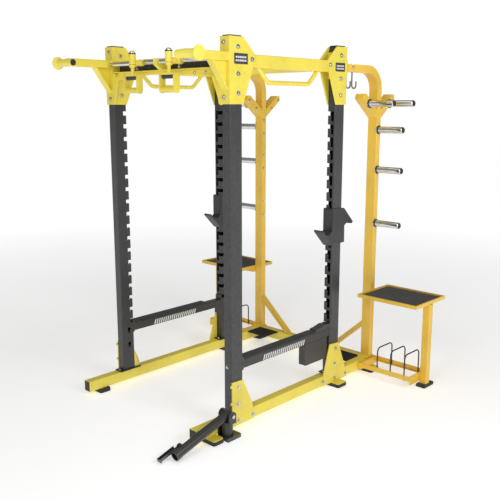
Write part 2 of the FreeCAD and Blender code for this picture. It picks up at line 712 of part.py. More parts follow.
def strap_hooks():
    """Two bent strap hooks under the column's upper run."""
    low = COLUMN_TOP_Z - (COLUMN_Y1 - COLUMN_Y0) / 2
    hooks = []
    for y in STRAP_Y:
        points = ((y, low), (y, low - 110), (y + 50, low - 110), (y + 50, low - 62))
        hooks.append(bent_bar(points, 22, 5, COLUMN_X0 + 37.5))
    return hooks


# ---- landmine -------------------------------------------------------------
def mine_bracket():
    """Floor bracket bolted to the outer face of the rail, with the swivel hub."""
    foot = box(HALF_WIDTH, 693, -124, -10, 0, 26)
    wall = box(HALF_WIDTH, HALF_WIDTH + 8, -124, -14, 0, 100)
    hub = rod((MINE_X, MINE_Y, 26), (MINE_X, MINE_Y, HUB_TOP), 36)
    body = foot.fuse([wall, hub]).removeSplitter()
    return body.cut(rod((MINE_X, MINE_Y, 34), (MINE_X, MINE_Y, HUB_TOP + 1), 14 + RUN))


def mine_yoke():
    """Swivel yoke: disc, spindle and two round-topped ears."""
    seat = HUB_TOP + 0.4
    disc = rod((MINE_X, MINE_Y, seat), (MINE_X, MINE_Y, seat + YOKE_FLOOR), 36)
    spindle = rod((MINE_X, MINE_Y, 40), (MINE_X, MINE_Y, seat), 14)
    floor = box(MINE_X - 50, MINE_X + 50, MINE_Y - 26, MINE_Y + 26, seat, seat + YOKE_FLOOR)
    ears = []
    for side in (-1, 1):
        x0 = MINE_X + side * 45 - 5
        cheek = box(x0, x0 + 10, MINE_Y - EAR_R, MINE_Y + EAR_R, seat, MINE_Z)
        ears.append(cheek.fuse(rod((x0, MINE_Y, MINE_Z), (x0 + 10, MINE_Y, MINE_Z), EAR_R)))
    body = disc.fuse([spindle, floor] + ears).removeSplitter()
    return body.cut(rod((MINE_X - 60, MINE_Y, MINE_Z), (MINE_X + 60, MINE_Y, MINE_Z), 8 + 0.02))


def mine_pin():
    """Cross pin of the landmine, with a head at each end."""
    shaft = rod((MINE_X - 50, MINE_Y, MINE_Z), (MINE_X + 50, MINE_Y, MINE_Z), 8)
    heads = [rod((MINE_X + side * 50, MINE_Y, MINE_Z), (MINE_X + side * 58, MINE_Y, MINE_Z), 12)
             for side in (-1, 1)]
    return shaft.fuse(heads).removeSplitter()


def tilt(shape):
    """Carry a piece drawn along -Y from the pivot to the landmine's resting tilt."""
    shape.rotate(V(0, 0, 0), V(1, 0, 0), MINE_TILT)
    shape.translate(V(MINE_X, MINE_Y, MINE_Z))
    return shape


def mine_tube():
    """Receiver tube for a bar sleeve, with its pivot barrel."""
    barrel = rod((-39.5, 0, 0), (39.5, 0, 0), 22)
    sleeve = rod((0, 0, 0), (0, -MINE_LONG, 0), MINE_R)
    collar = rod((0, -MINE_LONG + 34, 0), (0, -MINE_LONG, 0), MINE_R + 2.5)
    body = sleeve.fuse([barrel, collar])
    body = body.cut(rod((0, -40, 0), (0, -MINE_LONG - 5, 0), MINE_BORE))
    body = body.cut(rod((-50, 0, 0), (50, 0, 0), 8 + RUN))
    return tilt(body.removeSplitter())


def latch_lugs():
    """Two lugs on the tube's side that hold the latch's hinge pin."""
    sleeve = rod((0, LATCH_Y - 20, 0), (0, LATCH_Y + 20, 0), MINE_R)
    hole = rod((LATCH_X, LATCH_Y, LATCH_Z - 25), (LATCH_X, LATCH_Y, LATCH_Z + 25), 3.05)
    return [tilt(box(LATCH_X - 8, -MINE_R + 6, LATCH_Y - 12, LATCH_Y + 12, z, z + 6).cut([sleeve, hole]))
            for z in (LATCH_Z - 16.5, LATCH_Z + 10.5)]


def latch_pin():
    """Hinge pin of the latch."""
    return tilt(rod((LATCH_X, LATCH_Y, LATCH_Z - 18), (LATCH_X, LATCH_Y, LATCH_Z + 18), 3))


def latch_lever():
    """Channel-shaped lever with a lip beyond the tube's mouth."""
    low = LATCH_Z - 10
    high = LATCH_Z + 10
    tip = LATCH_Y - 154
    left = LATCH_X - LATCH_WIDE
    knuckle = rod((LATCH_X, LATCH_Y, low), (LATCH_X, LATCH_Y, high), 6.5)
    inner = box(LATCH_X - 5, LATCH_X, tip, LATCH_Y, low, high)
    outer = box(left, left + 3, tip, LATCH_Y - 22, low, high)
    floor = box(left, LATCH_X, tip, LATCH_Y - 22, low, low + 3)
    lip = box(left, LATCH_X + 10, tip, tip + 5, low, high)
    body = knuckle.fuse([inner, outer, floor, lip]).removeSplitter()
    return tilt(body.cut(rod((LATCH_X, LATCH_Y, low - 1), (LATCH_X, LATCH_Y, high + 1), 3 + RUN)))


# ---- fasteners and badges -------------------------------------------------
def corner_bolts():
    """Bolts in the top corner plates of the right side frame."""
    out = HALF_WIDTH + PLATE
    front = [(59, 2380), (179, 2313), (61, 2227), (61, 2116)]
    rear = [(REAR_BACK - y, z) for y, z in front]
    outer = [bolt((out, y, z), (1, 0, 0)) for y, z in front + rear]
    inner = [bolt((INNER - PLATE, y, z), (-1, 0, 0)) for y, z in front + rear]
    ends = [bolt((560, -PLATE, z), (0, -1, 0)) for z in (2404, 2093)]
    ends += [bolt((580, REAR_BACK + PLATE, z), (0, 1, 0)) for z in (2404, 2093)]
    ends += [bolt((484, -PLATE, 2248), (0, -1, 0), 8, 5)]
    flange = [bolt((568, POST_Y + FLANGE, 2372), (0, 1, 0)),
              bolt((568, REAR_FACE - FLANGE, 2372), (0, -1, 0))]
    below = [bolt((568, REAR_FACE - FLANGE, 2246), (0, -1, 0), 8, 5)]
    skirt = [bolt((x, 0, 2240), (0, -1, 0), 8, 5) for x in (300, 400)]
    return outer + inner + ends + flange + below + skirt


def base_bolts():
    """Bolts in the base gussets and base plates of the right side frame."""
    out = HALF_WIDTH + PLATE
    front = [(57, 286), (58, 173), (192, 61), (59, 62)]
    rear = [(1075, 289), (1073, 171), (1211, 58), (1076, 59), (939, 63)]
    heads = [bolt((out, y, z), (1, 0, 0)) for y, z in front + rear]
    top = RAIL_TOP + PLATE
    for y_face in (0, REAR_FACE):
        heads.append(bolt((560, y_face - 17, top), (0, 0, 1), 9, 6))
        heads.append(bolt((580, y_face + POST_Y + 30, top), (0, 0, 1), 9, 6))
    return heads


def storage_bolts():
    """Bolts through the storage column that hold the horns, shelf and tray."""
    heads = []
    for y, z in HORNS[2:]:
        for dz in (-HORN_BOLT, HORN_BOLT):
            heads.append(bolt((COLUMN_X0, COLUMN_MID, z + dz), (-1, 0, 0), 8, 5))
    for side in (-1, 1):
        for reach, z in ((94, 2029), (176, 2095)):
            y = COLUMN_MID + side * reach
            heads.append(bolt((COLUMN_X0, y, z), (-1, 0, 0), 8, 5))
    low = SHELF_TOP - SHELF_THICK - BEARER
    for x in (700, 760, 980, 1020):
        heads.append(bolt((x, COLUMN_MID - 34, low), (0, 0, -1), 8, 5))
    deep = (COLUMN_Y1 - COLUMN_Y0) / 2
    heads.append(bolt((COLUMN_X1, 1192, COLUMN_TOP_Z + 3), (1, 0, 0), 8, 5))
    heads += [bolt((COLUMN_X0 + 37.5, y, COLUMN_TOP_Z + deep), (0, 0, 1), 8, 5) for y in STRAP_Y]
    for x in DIVIDER_X:
        heads += [bolt((x, TRAY_MID + y, TRAY_LOW), (0, 0, -1), 7, 6)
                  for y in (-DIVIDER_HALF, DIVIDER_HALF)]
    return heads


def right_bolts():
    """Bolts found on the right side only: the landmine's bracket and an upright."""
    heads = [bolt((HALF_WIDTH + 8, -26, z), (1, 0, 0), 7, 4) for z in (76, 44)]
    return heads + [bolt((566, 0, 427), (0, -1, 0), 9, 6)]


def badges():
    """Blank name plates on the outer corner plates."""
    out = HALF_WIDTH + PLATE
    spans = ((29, 141, 2283, 2344), (REAR_BACK - 121, REAR_BACK - 16, 2274, 2331))
    return [round_long_edges(box(out, out + 2, y0, y1, z0, z1), V(1, 0, 0), 3) for y0, y1, z0, z1 in spans]


# ---- write the nodes ------------------------------------------------------
def write_sides():
    """Nodes that each side frame has for itself."""
    front = front_upright()
    pieces = {
        "base_rail": [base_rail()],
        "front_upright": [front],
        "rear_upright": [upright_at_rear(front)],
        "side_beam": [side_beam()],
        "side_grip_bar": [side_grip_bar()],
        "pullup_arm": [pullup_arm(), arm_brace()],
        "storage_column": [storage_column()],
        "hook_body": [hook_body()],
        "hook_liner": hook_liner(),
        "safety_arm": [safety_arm()],
        "safety_liner": [safety_liner()],
        "carriage": [carriage_sleeve(), carriage_post()],
        "pull_pin": [pull_pin()],
        "handle": [handle_cheeks(), swivel_spindle()],
        "handle_sleeve": [handle_sleeve()],
    }
    for name, shapes in pieces.items():
        save("left_" + name, [mirror_x(shape) for shape in shapes])
    pieces["safety_arm"] += safety_bracket()
    for name, shapes in pieces.items():
        save("right_" + name, shapes)


def write_shared():
    """Nodes that span the cage, or that group alike pieces of both sides."""
    side_plates = corner_side_plates()
    side_plates += [flip_y(plate, REAR_BACK / 2) for plate in side_plates]
    front_plate = corner_end_plate()
    front_flange = beam_flange()
    gussets = [front_gusset(), rear_gusset(), foot_rib(POST_Y), foot_rib(REAR_BACK)]
    caps = rail_caps() + [top_cap(0), top_cap(REAR_FACE), grip_plug()] + horn_plugs()
    pairs = {
        "plastic_caps": caps,
        "floor_plates": foot_plates(),
        "rubber_feet": foot_pads() + [post_foot()],
        "upright_base_plates": [base_plate(0), base_plate(REAR_FACE)],
        "base_gussets": gussets,
        "corner_side_plates": side_plates,
        "corner_end_plates": [front_plate, flip_y(front_plate, REAR_BACK / 2)],
        "end_flanges": [front_flange, flip_y(front_flange, REAR_BACK / 2), column_flange(),
                        column_foot()],
        "fat_grips": [fat_grip()],
        "horn_arms": horn_arms(),
        "storage_horns": storage_horns(),
        "shelf_frames": [shelf_frame()],
        "shelf_mats": [shelf_mat()],
        "storage_posts": shelf_carrier() + [outer_post(), diagonal_brace()],
        "bumper_trays": tray_beams() + tray_ends(),
        "bumper_dividers": dividers(),
        "tread_plates": [tread_plate()],
        "strap_hooks": strap_hooks(),
        "storage_bolts": storage_bolts(),
        "blank_badges": badges(),
    }
    for name, shapes in pairs.items():
        save(name, both_sides(shapes))
    save("frame_bolts", both_sides(corner_bolts() + base_bolts()) + right_bolts())
    save("front_beam", front_beam())
    save("rear_beam", rear_beam())
    save("rear_cross_member", cross_member())
    save("slide_rail", [slide_rail(), rail_bracket()] + both_sides([rail_socket()]))


def write_landmine():
    """Nodes of the landmine at the front right foot."""
    save("landmine_bracket", mine_bracket())
    save("landmine_yoke", mine_yoke())
    save("landmine_pin", mine_pin())
    save("landmine_tube", [mine_tube(), latch_pin()] + latch_lugs())
    save("landmine_latch", latch_lever())


write_sides()
write_shared()
write_landmine()
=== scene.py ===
"""Looks of the power cage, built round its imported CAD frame.

Metres, +Z up, x = 0 midway between the side frames, +Y towards the plate
storage.  Places come from the frame's own nodes.
"""
import json
import math

import bmesh
import bpy
from mathutils import Matrix, Vector


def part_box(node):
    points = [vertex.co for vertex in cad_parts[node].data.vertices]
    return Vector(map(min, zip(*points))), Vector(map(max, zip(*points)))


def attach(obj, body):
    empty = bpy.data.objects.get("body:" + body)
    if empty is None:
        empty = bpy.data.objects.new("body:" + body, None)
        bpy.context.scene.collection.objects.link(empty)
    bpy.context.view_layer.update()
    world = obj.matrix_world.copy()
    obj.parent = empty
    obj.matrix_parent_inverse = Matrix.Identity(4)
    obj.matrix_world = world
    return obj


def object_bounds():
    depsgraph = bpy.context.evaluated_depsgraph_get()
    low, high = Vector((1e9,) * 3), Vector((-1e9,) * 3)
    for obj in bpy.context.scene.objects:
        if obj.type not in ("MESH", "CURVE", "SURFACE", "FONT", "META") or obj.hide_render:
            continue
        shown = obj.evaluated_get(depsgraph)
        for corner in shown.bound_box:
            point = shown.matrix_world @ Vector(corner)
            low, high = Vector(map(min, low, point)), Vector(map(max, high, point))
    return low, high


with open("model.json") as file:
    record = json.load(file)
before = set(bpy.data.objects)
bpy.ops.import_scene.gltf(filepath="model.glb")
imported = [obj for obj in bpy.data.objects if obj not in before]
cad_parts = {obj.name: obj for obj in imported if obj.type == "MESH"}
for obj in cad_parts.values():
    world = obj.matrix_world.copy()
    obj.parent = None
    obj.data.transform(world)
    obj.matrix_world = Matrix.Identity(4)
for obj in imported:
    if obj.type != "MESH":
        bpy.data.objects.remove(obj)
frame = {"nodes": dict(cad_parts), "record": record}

CAD_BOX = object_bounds()
NODES = frame["nodes"]
SCENE = bpy.context.scene
ROOT = "cage_frame"
SIDES = {"right": 1, "left": -1}        # each side frame and the sign of its x
UP = (0, 0, 1)

# ---- colours (linear) -----------------------------------------------------
LEMON = (0.90, 0.73, 0.085)
AMBER = (0.92, 0.57, 0.060)
BRIGHT_LEMON = (0.93, 0.80, 0.11)
CHARCOAL = (0.030, 0.030, 0.031)
SATIN_BLACK = (0.013, 0.013, 0.014)
RUBBER_BLACK = (0.014, 0.014, 0.015)
CAP_BLACK = (0.016, 0.016, 0.017)
LINER_BLACK = (0.022, 0.022, 0.023)
BADGE_GREY = (0.045, 0.047, 0.052)
CHROME = (0.78, 0.79, 0.82)
STEEL = (0.46, 0.46, 0.48)
PALE_INK = (0.83, 0.83, 0.81)
FLOOR_GREYS = ((0.90, 0.90, 0.90), (0.92, 0.92, 0.92))
BRIGHTEST = 0.97                        # no channel of a shaded colour goes higher


# ---- material helpers -----------------------------------------------------
class Recipe:
    """A node material in the making, with short calls for the usual nodes."""

    def __init__(self, name):
        self.material = bpy.data.materials.new(name)
        self.material.use_nodes = True
        self.tree = self.material.node_tree
        self.shader = self.tree.nodes["Principled BSDF"]
        self.place = self.add("ShaderNodeTexCoord").outputs["Object"]

    def add(self, kind, **settings):
        node = self.tree.nodes.new(kind)
        for key, value in settings.items():
            setattr(node, key, value)
        return node

    def link(self, source, target):
        self.tree.links.new(source, target)

    def stretched(self, scale):
        """Object coordinates scaled by a different amount along each axis."""
        node = self.add("ShaderNodeMapping")
        self.link(self.place, node.inputs["Vector"])
        node.inputs["Scale"].default_value = scale
        return node.outputs["Vector"]

    def noise(self, scale, detail=3.0, place=None):
        node = self.add("ShaderNodeTexNoise")
        self.link(place or self.place, node.inputs["Vector"])
        node.inputs["Scale"].default_value = scale
        node.inputs["Detail"].default_value = detail
        return node.outputs["Fac"]

    def wave(self, scale, direction):
        """Even bands across one axis."""
        node = self.add("ShaderNodeTexWave", bands_direction=direction)
        self.link(self.place, node.inputs["Vector"])
        node.inputs["Scale"].default_value = scale
        return node.outputs["Fac"]

    def ramp(self, fac, stops):
        """Colour ramp; stops holds (position, linear colour)."""
        node = self.add("ShaderNodeValToRGB")
        self.link(fac, node.inputs["Fac"])
        points = node.color_ramp.elements
        while len(points) < len(stops):
            points.new(0.5)
        for point, (position, colour) in zip(points, stops):
            point.position = position
            point.color = (*colour, 1.0)
        return node.outputs["Color"]

    def spread(self, fac, low, high, start=0.0, end=1.0):
        """Value that runs from low to high as fac goes from start to end."""
        node = self.add("ShaderNodeMapRange")
        self.link(fac, node.inputs["Value"])
        limits = {"From Min": start, "From Max": end, "To Min": low, "To Max": high}
        for key, value in limits.items():
            node.inputs[key].default_value = value
        return node.outputs["Result"]

    def multiply(self, a, b):
        node = self.add("ShaderNodeMath", operation="MULTIPLY")
        self.link(a, node.inputs[0])
        self.link(b, node.inputs[1])
        return node.outputs["Value"]

    def colour(self, fac, under, over):
        """Base colour: under, with the constant colour over laid on it by fac."""
        node = self.add("ShaderNodeMix", data_type="RGBA")
        self.link(fac, node.inputs["Factor"])
        self.link(under, node.inputs["A"])
        node.inputs["B"].default_value = (*over, 1.0)
        self.link(node.outputs["Result"], self.shader.inputs["Base Color"])

    def roughness(self, fac, low, high, start=0.0, end=1.0):
        """Roughness that follows fac, with limits as in spread."""
        level = self.spread(fac, low, high, start, end)
        self.link(level, self.shader.inputs["Roughness"])

    def bump(self, height, strength, distance, under=None):
        """Relief on top of the relief under, if there is one."""
        node = self.add("ShaderNodeBump")
        self.link(height, node.inputs["Height"])
        node.inputs["Strength"].default_value = strength
        node.inputs["Distance"].default_value = distance
        if under:
            self.link(under, node.inputs["Normal"])
        self.link(node.outputs["Normal"], self.shader.inputs["Normal"])
        return node.outputs["Normal"]

    def worn_and_highlit_edges(self, start, end, share):
        """Mask of the convex edges, broken up by a noise; it lightens them as rubbed wear and,
        on powder paint, as a painted highlight.
        """
        pointiness = self.add("ShaderNodeNewGeometry").outputs["Pointiness"]
        edge = self.spread(pointiness, low=0.0, high=share, start=start, end=end)
        gaps = self.spread(self.noise(scale=38.0), low=0.15, high=1.0, start=0.35, end=0.65)
        return self.multiply(edge, gaps)

    def constants(self, **values):
        """Shader inputs by name, with _ for each space."""
        for key, value in values.items():
            self.shader.inputs[key.replace("_", " ")].default_value = value


def shade(colour, factor):
    """The colour made lighter or darker, held under white."""
    return tuple(min(BRIGHTEST, part * factor) for part in colour)


def powder_coat(name, colour, rough, edge_wear_and_highlight, grain=620.0, relief=0.16):
    """Baked powder paint: orange peel, faint cloudiness, and brighter edges that are partly
    rubbed wear and partly a painted highlight.
    """
    recipe = Recipe(name)
    tones = ((0.30, shade(colour, 0.90)), (0.52, colour), (0.74, shade(colour, 1.07)))
    clouds = recipe.ramp(recipe.noise(scale=5.0, detail=5.0), tones)
    # brighter convex edges: rubbed wear and a painted highlight
    recipe.colour(recipe.worn_and_highlit_edges(start=0.515, end=0.60, share=0.55), clouds, edge_wear_and_highlight)
    recipe.roughness(recipe.noise(scale=22.0, detail=4.0), low=rough - 0.06, high=rough + 0.09)
    peel = recipe.bump(recipe.noise(grain, detail=2.0), relief, distance=0.0004)
    waviness = recipe.noise(scale=70.0, detail=2.0)
    recipe.bump(waviness, strength=0.05, distance=0.0008, under=peel)
    recipe.constants(Coat_Weight=0.25, Coat_Roughness=0.18)
    return recipe.material


def bare_metal(name, colour, rough, streaks, scratch):
    """Plated or turned metal with a faint tarnish.

    streaks holds a noise scale for each axis; the streaks run along the lowest.
    """
    recipe = Recipe(name)
    lines = recipe.noise(scale=1.0, detail=4.0, place=recipe.stretched(streaks))
    tones = ((0.25, shade(colour, 0.80)), (0.55, colour), (0.85, shade(colour, 1.08)))
    clouds = recipe.ramp(recipe.noise(scale=16.0, detail=4.0), tones)
    tarnish = recipe.spread(lines, low=0.0, high=0.18, start=0.45, end=0.75)
    recipe.colour(tarnish, clouds, shade(colour, 0.62))
    recipe.roughness(lines, low=rough * 0.7, high=rough * 1.5, start=0.3, end=0.7)
    recipe.bump(lines, scratch, distance=0.0002)
    recipe.constants(Metallic=1.0)
    return recipe.material


def moulded_rubber(name, colour, rough, ridge=None):
    """Matte rubber: fine pores, dusty bloom, and ridges where asked for.

    ridge holds the scale and the axis of the ridges.
    """
    recipe = Recipe(name)
    tones = ((0.30, colour), (0.75, shade(colour, 2.3)))
    bloom = recipe.ramp(recipe.noise(scale=11.0, detail=6.0), tones)
    specks = recipe.noise(scale=420.0, detail=1.0)
    dust = recipe.spread(specks, low=0.0, high=0.55, start=0.66, end=0.74)
    recipe.colour(dust, bloom, shade(colour, 5.0))
    recipe.roughness(recipe.noise(scale=40.0), low=rough - 0.10, high=rough + 0.08)
    pores = recipe.bump(recipe.noise(scale=900.0, detail=2.0), strength=0.35, distance=0.0005)
    if ridge:
        recipe.bump(recipe.wave(*ridge), strength=0.8, distance=0.0018, under=pores)
    recipe.constants(Sheen_Weight=0.12)
    return recipe.material


def hard_plastic(name, colour, rough):
    """Moulded plastic with a fine spark-eroded grain and scuffs."""
    recipe = Recipe(name)
    tones = ((0.30, shade(colour, 0.8)), (0.75, shade(colour, 1.5)))
    clouds = recipe.ramp(recipe.noise(scale=9.0, detail=4.0), tones)
    recipe.colour(recipe.worn_and_highlit_edges(start=0.52, end=0.62, share=0.6), clouds, shade(colour, 4.0))
    recipe.roughness(recipe.noise(scale=60.0, detail=5.0), low=rough - 0.08, high=rough + 0.12)
    recipe.bump(recipe.noise(scale=1500.0, detail=1.0), strength=0.22, distance=0.0003)
    return recipe.material


def pale_ink(name):
    """Screen-printed marking, thin in places."""
    recipe = Recipe(name)
    tones = ((0.3, shade(PALE_INK, 0.86)), (0.7, PALE_INK))
    clouds = recipe.ramp(recipe.noise(scale=30.0, detail=4.0), tones)
    thin = recipe.spread(recipe.noise(scale=350.0), low=0.0, high=0.5, start=0.62, end=0.74)
    recipe.colour(thin, clouds, shade(PALE_INK, 0.45))
    recipe.roughness(recipe.noise(scale=80.0), low=0.42, high=0.62)
    recipe.bump(recipe.noise(scale=900.0), strength=0.10, distance=0.0002)
    return recipe.material


FLOOR_GLOW = (0.44, 0.78)               # near the cage and far from it
FLOOR_GLOW_REACH = (2.0, 8.0)           # distances from the middle of the floor


def floor_paint(name):
    """Pale matte studio floor that brightens towards the surround."""
    recipe = Recipe(name)
    tones = tuple(zip((0.3, 0.7), FLOOR_GREYS))
    clouds = recipe.ramp(recipe.noise(scale=0.8), tones)
    recipe.link(clouds, recipe.shader.inputs["Base Color"])
    recipe.roughness(recipe.noise(scale=3.0), low=0.85, high=0.95)
    reach = recipe.add("ShaderNodeVectorMath", operation="LENGTH")
    recipe.link(recipe.place, reach.inputs[0])
    glow = recipe.spread(reach.outputs["Value"], *FLOOR_GLOW, *FLOOR_GLOW_REACH)
    recipe.link(glow, recipe.shader.inputs["Emission Strength"])
    recipe.constants(Emission_Color=(1.0, 1.0, 1.0, 1.0))
    return recipe.material


# the last colour of each powder coat is its brighter edge colour: rubbed wear and a painted
# highlight
MATERIALS = {
    "frame_paint": powder_coat("frame_paint", LEMON, 0.36, shade(LEMON, 1.25)),
    "storage_paint": powder_coat("storage_paint", AMBER, 0.36, shade(AMBER, 1.3)),
    "grip_paint": powder_coat("grip_paint", BRIGHT_LEMON, 0.46, shade(BRIGHT_LEMON, 1.15),
                              grain=300.0, relief=0.45),
    "upright_paint": powder_coat("upright_paint", CHARCOAL, 0.38, shade(CHARCOAL, 4.5)),
    "black_paint": powder_coat("black_paint", SATIN_BLACK, 0.40, shade(SATIN_BLACK, 7.0)),
    "dark_paint": powder_coat("dark_paint", shade(CHARCOAL, 0.9), 0.33, shade(CHARCOAL, 6.0)),
    "chrome": bare_metal("chrome", CHROME, 0.10, streaks=(3.0, 300.0, 300.0), scratch=0.05),
    "bolt_steel": bare_metal("bolt_steel", shade(CHROME, 0.86), 0.20,
                             streaks=(120.0, 120.0, 120.0), scratch=0.12),
    "bright_steel": bare_metal("bright_steel", STEEL, 0.26,
                               streaks=(260.0, 260.0, 6.0), scratch=0.10),
    "brushed_steel": bare_metal("brushed_steel", shade(STEEL, 0.42), 0.36,
                                streaks=(300.0, 5.0, 60.0), scratch=0.16),
    "black_rubber": moulded_rubber("black_rubber", RUBBER_BLACK, 0.72),
    "mat_rubber": moulded_rubber("mat_rubber", RUBBER_BLACK, 0.78, ridge=(28.0, "Y")),
    "grip_rubber": moulded_rubber("grip_rubber", RUBBER_BLACK, 0.62, ridge=(95.0, "X")),
    "cap_plastic": hard_plastic("cap_plastic", CAP_BLACK, 0.46),
    "liner_plastic": hard_plastic("liner_plastic", LINER_BLACK, 0.40),
    "badge_plate": hard_plastic("badge_plate", BADGE_GREY, 0.28),
    "marking": pale_ink("marking"),
}


# ---- CAD nodes: materials and softened edges ------------------------------
USUAL_SOFTENING = 0.0014
EDGE_SOFTENING = {                      # other radii, by node name without its side
    "frame_bolts": 0.0008,
    "storage_bolts": 0.0007,
    "side_grip_bar": 0.0,
    "handle_sleeve": 0.0008,
    "storage_horns": 0.0015,
    "slide_rail": 0.0006,
    "bumper_dividers": 0.0,
    "strap_hooks": 0.0,
    "landmine_pin": 0.0012,
    "pull_pin": 0.0006,
    "blank_badges": 0.0006,
}
SOFTENING_SEGMENTS = 2
SHARP_ANGLE = math.radians(34)
WELD_DISTANCE = 0.00002


def soften(thing, width):
    """Join the mesh's split seams and round its sharp edges, by modifiers only."""
    weld = thing.modifiers.new("seams", "WELD")
    weld.merge_threshold = WELD_DISTANCE
    if width:
        rounding = thing.modifiers.new("soft edges", "BEVEL")
        rounding.width = width
        rounding.segments = SOFTENING_SEGMENTS
        rounding.limit_method = "ANGLE"
        rounding.angle_limit = SHARP_ANGLE
        rounding.harden_normals = True
        rounding.miter_outer = "MITER_ARC"
    thing.modifiers.new("normals", "WEIGHTED_NORMAL").keep_sharp = True


def dress_frame():
    """Every CAD node gets its slot's material and a small edge radius."""
    slots = {part["node"]: part["material_slot"] for part in frame["record"]["subparts"]}
    for name, node in NODES.items():
        node.data.materials.clear()
        node.data.materials.append(MATERIALS[slots[name]])
        bare = name.removeprefix("right_").removeprefix("left_")
        soften(node, EDGE_SOFTENING.get(bare, USUAL_SOFTENING))


# ---- mesh helpers ---------------------------------------------------------
def piece(name, mesh, slot, body=ROOT):
    """Finish a mesh as a piece of the object."""
    data = bpy.data.meshes.new(name)
    bmesh.ops.recalc_face_normals(mesh, faces=mesh.faces)
    mesh.to_mesh(data)
    mesh.free()
    thing = bpy.data.objects.new(name, data)
    SCENE.collection.objects.link(thing)
    data.materials.append(MATERIALS[slot])
    for face in data.polygons:
        face.use_smooth = True
    data.set_sharp_from_angle(angle=SHARP_ANGLE)
    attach(thing, body)


def frame_along(direction):
    """Two unit vectors square to a direction."""
    direction = direction.normalized()
    helper = Vector((0, 0, 1)) if abs(direction.z) < 0.9 else Vector((1, 0, 0))
    side = direction.cross(helper).normalized()
    return side, direction.cross(side).normalized()


def circle(origin, axis, radius, steps=28):
    """Points round a circle square to its axis."""
    side, up = frame_along(Vector(axis))
    turns = [2 * math.pi * i / steps for i in range(steps)]
    return [Vector(origin) + (side * math.cos(t) + up * math.sin(t)) * radius for t in turns]


def skin(mesh, loops, joined):
    """Faces between loops of vertices, joined end to start or capped."""
    count = len(loops)
    sides = len(loops[0])
    for i in range(count if joined else count - 1):
        for k in range(sides):
            n = (k + 1) % sides
            j = (i + 1) % count
            mesh.faces.new((loops[i][k], loops[i][n], loops[j][n], loops[j][k]))
    if not joined:
        mesh.faces.new(loops[0])
        mesh.faces.new(loops[-1])


LATHE_STEPS = 48


def lathe(mesh, profile, origin, axis):
    """Solid of revolution; profile holds (distance along the axis, radius)."""
    axis = Vector(axis).normalized()
    rings = []
    for distance, radius in profile:
        centre = Vector(origin) + axis * distance
        points = circle(centre, axis, radius, LATHE_STEPS) if radius else [centre]
        rings.append([mesh.verts.new(point) for point in points])
    for ring, after in zip(rings, rings[1:]):
        for i in range(LATHE_STEPS):
            j = (i + 1) % LATHE_STEPS
            corners = [ring[i % len(ring)], ring[j % len(ring)],
                       after[j % len(after)], after[i % len(after)]]
            unique = list(dict.fromkeys(corners))
            if len(unique) > 2:
                mesh.faces.new(unique)


def hoop(mesh, origin, axis, radius, thick, steps=48, sides=10):
    """Round ring of round section."""
    axis = Vector(axis).normalized()
    side, up = frame_along(axis)
    loops = []
    for i in range(steps):
        turn = 2 * math.pi * i / steps
        out = side * math.cos(turn) + up * math.sin(turn)
        loop = []
        for k in range(sides):
            angle = 2 * math.pi * k / sides
            reach = out * (radius + thick * math.cos(angle))
            rise = axis * thick * math.sin(angle)
            loop.append(mesh.verts.new(Vector(origin) + reach + rise))
        loops.append(loop)
    skin(mesh, loops, joined=True)


BEAD_STEP = 0.0035                      # length of one ripple
BEAD_RIPPLE = 0.16                      # its height, as a share of the radius
BEAD_SIDES = 6


def bead(mesh, points, radius=0.0032, closed=False):
    """Weld bead along a polyline, rippled like stacked coins."""
    corners = [Vector(p) for p in points]
    if closed:
        corners.append(corners[0])
    track = []
    for start, end in zip(corners, corners[1:]):
        steps = max(2, round((end - start).length / BEAD_STEP))
        track += [start.lerp(end, i / steps) for i in range(steps)]
    if not closed:
        track.append(corners[-1])
    loops = []
    count = len(track)
    for i, point in enumerate(track):
        before = track[i - 1] if closed or i else point
        after = track[(i + 1) % count] if closed or i < count - 1 else point
        ripple = radius * (1.0 + BEAD_RIPPLE * (1 if i % 2 else -1))
        ring = circle(point, after - before, ripple, BEAD_SIDES)
        loops.append([mesh.verts.new(corner) for corner in ring])
    skin(mesh, loops, joined=closed)


def slab(mesh, low, high):
    """Block between two corners."""
    low, high = Vector(low), Vector(high)
    place = Matrix.Translation((low + high) / 2) @ Matrix.Diagonal((*(high - low), 1.0))
    bmesh.ops.create_cube(mesh, size=1.0, matrix=place)


def upright_rectangle(x0, x1, z0, z1, y):
    """Corners of a rectangle square to Y."""
    return [(x0, y, z0), (x1, y, z0), (x1, y, z1), (x0, y, z1)]


def level_rectangle(x0, x1, y0, y1, z):
    """Corners of a rectangle square to Z."""
    return [(x0, y0, z), (x1, y0, z), (x1, y1, z), (x0, y1, z)]


# ---- pieces added to the frame --------------------------------------------
PROUD = 0.0004                          # how far a thin piece stands off its face
SUNK = 0.0005                           # how far a thicker one goes into it
SMALL_HOOP = {"steps": 40, "sides": 8}
KNOB_HOOP = {"steps": 36, "sides": 8}

DOME_PROFILE = ((-0.0145, 0), (-0.0145, 0.0184), (-0.0105, 0.0184), (-0.0060, 0.0158),
                (-0.0020, 0.0098), (0.0004, 0.0048), (0.0008, 0))
COLLAR_PROFILE = ((-0.006, 0.0216), (-0.0065, 0.0232), (-0.0005, 0.0232), (0.0008, 0.0215),
                  (0.0008, 0.0186), (-0.0004, 0.0186), (-0.0004, 0.0216), (-0.006, 0.0216))
GROOVE_SHADE_DROP = 0.070                     # black ring as painted shade of the post's groove, below the top of the post
GROOVE_SHADE_RADIUS = 0.0216
GROOVE_SHADE_THICK = 0.0010
KNOB_RINGS = 3
KNOB_RING_START = 0.0035                # over the foot of the knob
KNOB_RING_PITCH = 0.0025
KNOB_RING_RADIUS = 0.0099
KNOB_RING_THICK = 0.0006


